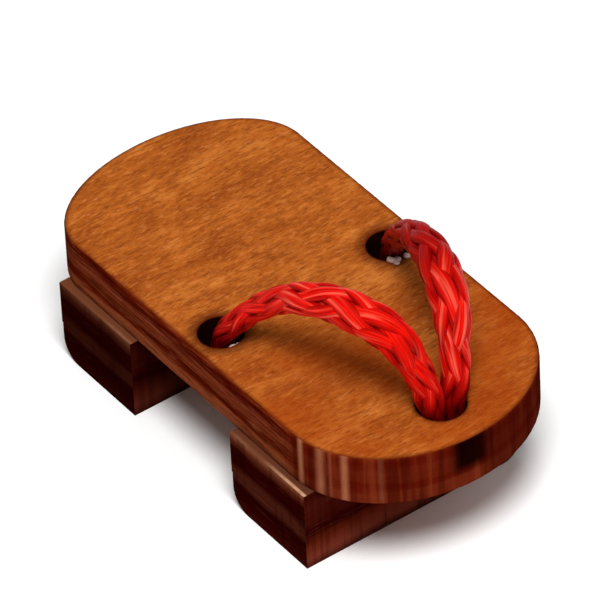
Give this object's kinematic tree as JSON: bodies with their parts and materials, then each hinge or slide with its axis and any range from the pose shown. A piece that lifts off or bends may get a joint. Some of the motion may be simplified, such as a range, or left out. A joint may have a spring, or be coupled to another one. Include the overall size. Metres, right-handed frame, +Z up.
{
  "type": "miniature geta sandal",
  "caption": "Small wooden platform sandal: a flat plywood foot board on two cross teeth, with a forked cord thong strap.",
  "frame": {"origin": "middle of the whole sandal's plan, on the floor that the teeth stand on", "axes": "+Z up; the toe points to -Y and the heel to +Y; the wearer's right is -X"},
  "size_m": [0.0248, 0.0488, 0.0237],
  "materials": {
    "board_wood": "satin",
    "tooth_wood": "satin",
    "strap_cord": "satin"
  },
  "bodies": {
    "root": {"board": "board_wood", "front_tooth_upper": "tooth_wood", "front_tooth_lower": "tooth_wood", "heel_tooth_upper": "tooth_wood", "heel_tooth_lower": "tooth_wood", "strap": "strap_cord"}
  },
  "joints": []
}
